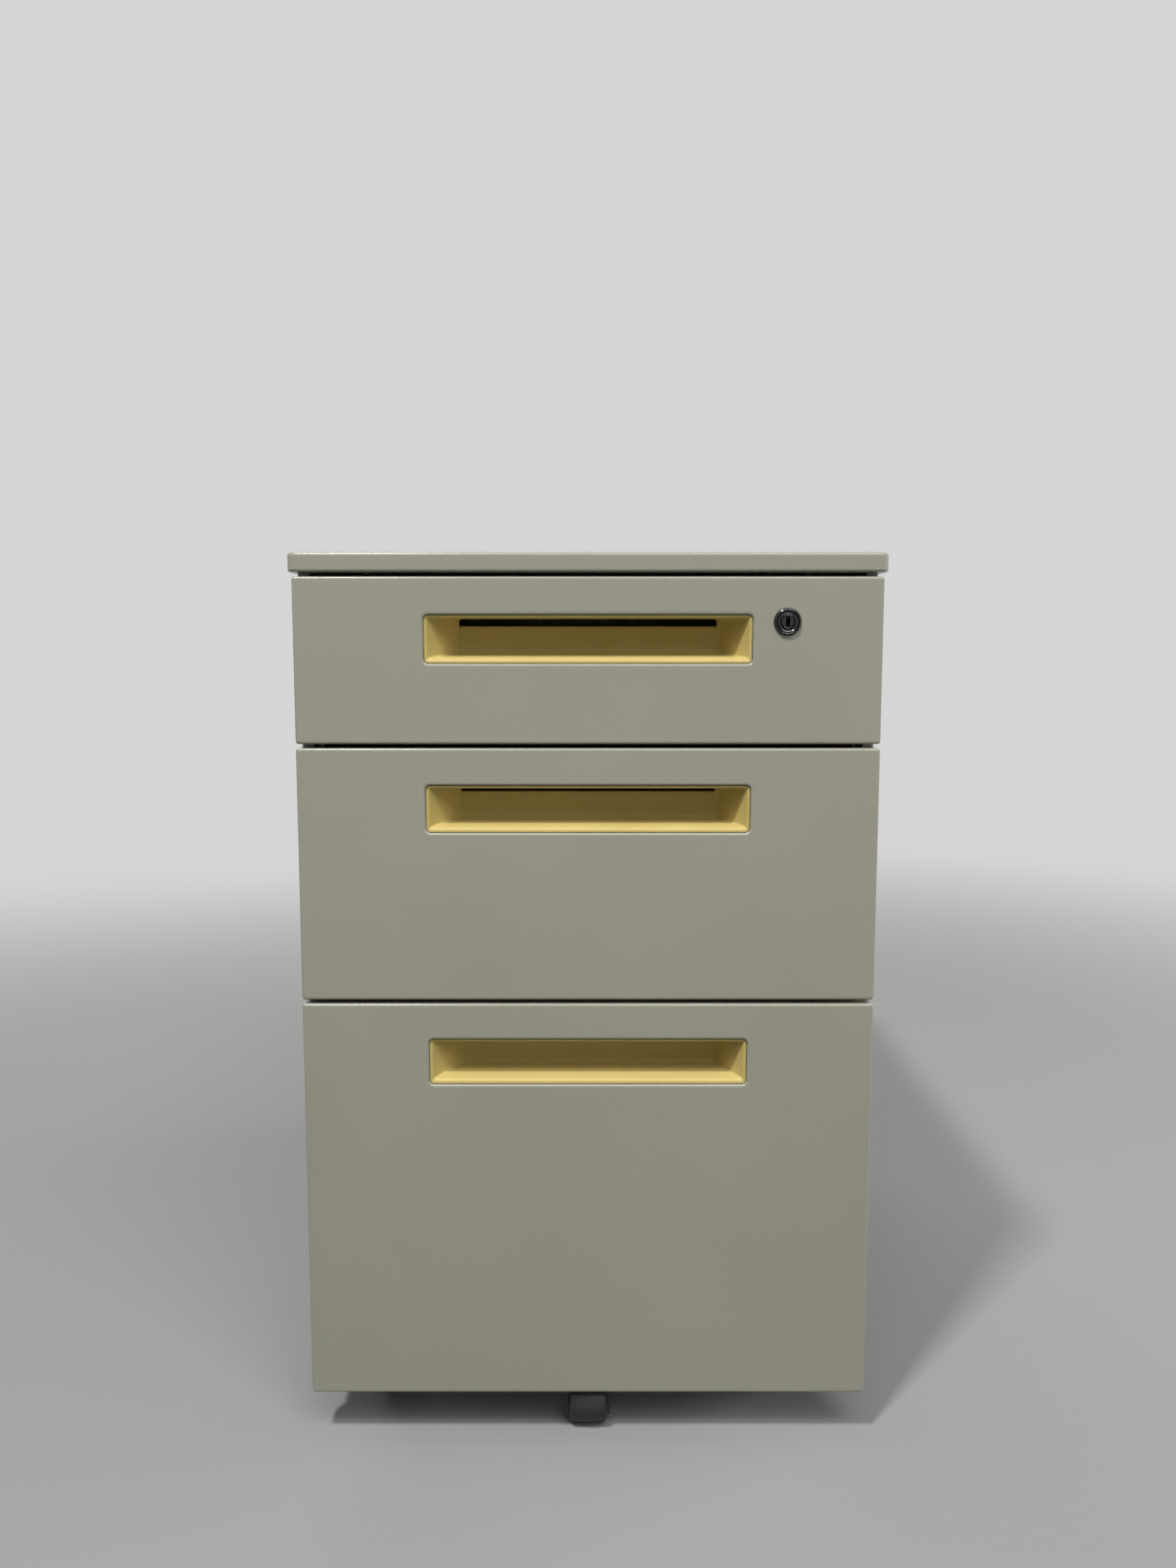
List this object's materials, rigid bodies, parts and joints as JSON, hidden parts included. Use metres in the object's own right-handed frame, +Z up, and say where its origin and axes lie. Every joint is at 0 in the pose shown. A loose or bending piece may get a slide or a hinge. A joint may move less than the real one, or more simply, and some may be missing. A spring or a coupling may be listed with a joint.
{
  "type": "mobile pedestal",
  "caption": "Steel mobile pedestal with three drawers on runners, yellow recessed pull cups, a cam lock that lifts a lock bar, swivel casters and an anti-tip roller.",
  "frame": {"origin": "on the floor under the middle of the bounding box, casters down", "axes": "+Z up, -Y towards the user at the drawer fronts, +X to the right seen from the front"},
  "size_m": [0.396, 0.58, 0.62],
  "materials": {
    "painted_steel": "satin powder coat, warm grey-beige",
    "liner_steel": "satin powder coat on the inside of the drawers",
    "galvanised_steel": "zinc-plated sheet",
    "runner_steel": "bright zinc plate",
    "zinc_screws": "bright zinc plate",
    "caster_steel": "black coat",
    "board": "bare chipboard, inside the top",
    "yellow_plastic": "glossy butter yellow",
    "lock_chrome": "dark nickel",
    "bumper_rubber": "matt black",
    "caster_wheel": "matt black"
  },
  "bodies": {
    "cabinet": {"top_panel": "painted_steel", "top_core": "board", "left_side_panel": "painted_steel", "right_side_panel": "painted_steel", "back_panel": "painted_steel", "base_pan": "galvanised_steel", "top_rails": "galvanised_steel", "runner_uprights": "galvanised_steel", "caster_mount_plates": "galvanised_steel", "caster_stems": "caster_steel", "outer_runner_screws": "zinc_screws", "top_screws": "zinc_screws", "front_bumpers": "bumper_rubber", "lock_bar_guides": "galvanised_steel", "drawer_1_outer_runners": "runner_steel", "drawer_2_outer_runners": "runner_steel", "drawer_3_outer_runners": "runner_steel"},
    "lock_bar": {"lock_bar": "galvanised_steel"},
    "lock": {"lock_plug": "lock_chrome", "lock_cam": "galvanised_steel"},
    "drawer_1": {"drawer_1_front": "painted_steel", "drawer_1_front_liner": "liner_steel", "drawer_1_box": "liner_steel", "drawer_1_box_ends": "liner_steel", "drawer_1_handle": "yellow_plastic", "drawer_1_inner_runners": "runner_steel", "drawer_1_catch": "galvanised_steel", "drawer_1_screws": "zinc_screws", "lock_housing": "lock_chrome"},
    "middle_runners_1": {"drawer_1_middle_runners": "runner_steel"},
    "drawer_2": {"drawer_2_front": "painted_steel", "drawer_2_front_liner": "liner_steel", "drawer_2_box": "liner_steel", "drawer_2_box_ends": "liner_steel", "drawer_2_handle": "yellow_plastic", "drawer_2_inner_runners": "runner_steel", "drawer_2_catch": "galvanised_steel", "drawer_2_screws": "zinc_screws"},
    "middle_runners_2": {"drawer_2_middle_runners": "runner_steel"},
    "drawer_3": {"drawer_3_front": "painted_steel", "drawer_3_front_liner": "liner_steel", "drawer_3_box": "liner_steel", "drawer_3_box_ends": "liner_steel", "drawer_3_handle": "yellow_plastic", "drawer_3_inner_runners": "runner_steel", "drawer_3_catch": "galvanised_steel", "drawer_3_screws": "zinc_screws", "anti_tip_bracket": "caster_steel", "anti_tip_axle": "caster_steel"},
    "middle_runners_3": {"drawer_3_middle_runners": "runner_steel"},
    "anti_tip_roller": {"anti_tip_roller": "caster_wheel"},
    "caster_front_left_fork": {"caster_front_left_fork": "caster_steel", "caster_front_left_axle": "caster_steel"},
    "caster_front_left_wheel": {"caster_front_left_wheel": "caster_wheel"},
    "caster_front_right_fork": {"caster_front_right_fork": "caster_steel", "caster_front_right_axle": "caster_steel"},
    "caster_front_right_wheel": {"caster_front_right_wheel": "caster_wheel"},
    "caster_rear_left_fork": {"caster_rear_left_fork": "caster_steel", "caster_rear_left_axle": "caster_steel"},
    "caster_rear_left_wheel": {"caster_rear_left_wheel": "caster_wheel"},
    "caster_rear_right_fork": {"caster_rear_right_fork": "caster_steel", "caster_rear_right_axle": "caster_steel"},
    "caster_rear_right_wheel": {"caster_rear_right_wheel": "caster_wheel"}
  },
  "joints": [
    {"name": "drawer_1_slide", "type": "slide", "parent": "cabinet", "child": "drawer_1", "axis": [0, -1, 0], "range_m": [0, 0.45]},
    {"name": "middle_runners_1_slide", "type": "slide", "parent": "cabinet", "child": "middle_runners_1", "axis": [0, -1, 0], "range_m": [0, 0.225]},
    {"name": "drawer_2_slide", "type": "slide", "parent": "cabinet", "child": "drawer_2", "axis": [0, -1, 0], "range_m": [0, 0.45]},
    {"name": "middle_runners_2_slide", "type": "slide", "parent": "cabinet", "child": "middle_runners_2", "axis": [0, -1, 0], "range_m": [0, 0.225]},
    {"name": "drawer_3_slide", "type": "slide", "parent": "cabinet", "child": "drawer_3", "axis": [0, -1, 0], "range_m": [0, 0.45]},
    {"name": "middle_runners_3_slide", "type": "slide", "parent": "cabinet", "child": "middle_runners_3", "axis": [0, -1, 0], "range_m": [0, 0.225]},
    {"name": "lock_turn", "type": "hinge", "parent": "drawer_1", "child": "lock", "pos_m": [0.1315, -0.2878, 0.5747], "axis": [0, -1, 0], "range_deg": [0, 90]},
    {"name": "lock_bar_lift", "type": "slide", "parent": "cabinet", "child": "lock_bar", "axis": [0, 0, 1], "range_m": [0, 0.01131]},
    {"name": "caster_front_left_swivel", "type": "hinge", "parent": "cabinet", "child": "caster_front_left_fork", "pos_m": [-0.151, -0.2268, 0.0445], "axis": [0, 0, 1], "continuous": true},
    {"name": "caster_front_left_roll", "type": "hinge", "parent": "caster_front_left_fork", "child": "caster_front_left_wheel", "pos_m": [-0.151, -0.2088, 0.02], "axis": [1, 0, 0], "continuous": true},
    {"name": "caster_front_right_swivel", "type": "hinge", "parent": "cabinet", "child": "caster_front_right_fork", "pos_m": [0.151, -0.2268, 0.0445], "axis": [0, 0, 1], "continuous": true},
    {"name": "caster_front_right_roll", "type": "hinge", "parent": "caster_front_right_fork", "child": "caster_front_right_wheel", "pos_m": [0.151, -0.2088, 0.02], "axis": [1, 0, 0], "continuous": true},
    {"name": "caster_rear_left_swivel", "type": "hinge", "parent": "cabinet", "child": "caster_rear_left_fork", "pos_m": [-0.151, 0.243, 0.0445], "axis": [0, 0, 1], "continuous": true},
    {"name": "caster_rear_left_roll", "type": "hinge", "parent": "caster_rear_left_fork", "child": "caster_rear_left_wheel", "pos_m": [-0.151, 0.261, 0.02], "axis": [1, 0, 0], "continuous": true},
    {"name": "caster_rear_right_swivel", "type": "hinge", "parent": "cabinet", "child": "caster_rear_right_fork", "pos_m": [0.151, 0.243, 0.0445], "axis": [0, 0, 1], "continuous": true},
    {"name": "caster_rear_right_roll", "type": "hinge", "parent": "caster_rear_right_fork", "child": "caster_rear_right_wheel", "pos_m": [0.151, 0.261, 0.02], "axis": [1, 0, 0], "continuous": true},
    {"name": "anti_tip_roll", "type": "hinge", "parent": "drawer_3", "child": "anti_tip_roller", "pos_m": [0, -0.2678, 0.016], "axis": [1, 0, 0], "continuous": true}
  ],
  "couplings": [
    {"joint": "middle_runners_1_slide", "follows": "drawer_1_slide", "ratio": 0.5},
    {"joint": "middle_runners_2_slide", "follows": "drawer_2_slide", "ratio": 0.5},
    {"joint": "middle_runners_3_slide", "follows": "drawer_3_slide", "ratio": 0.5},
    {"joint": "lock_turn", "follows": "lock_bar_lift", "rad_per_m": 138.84}
  ]
}
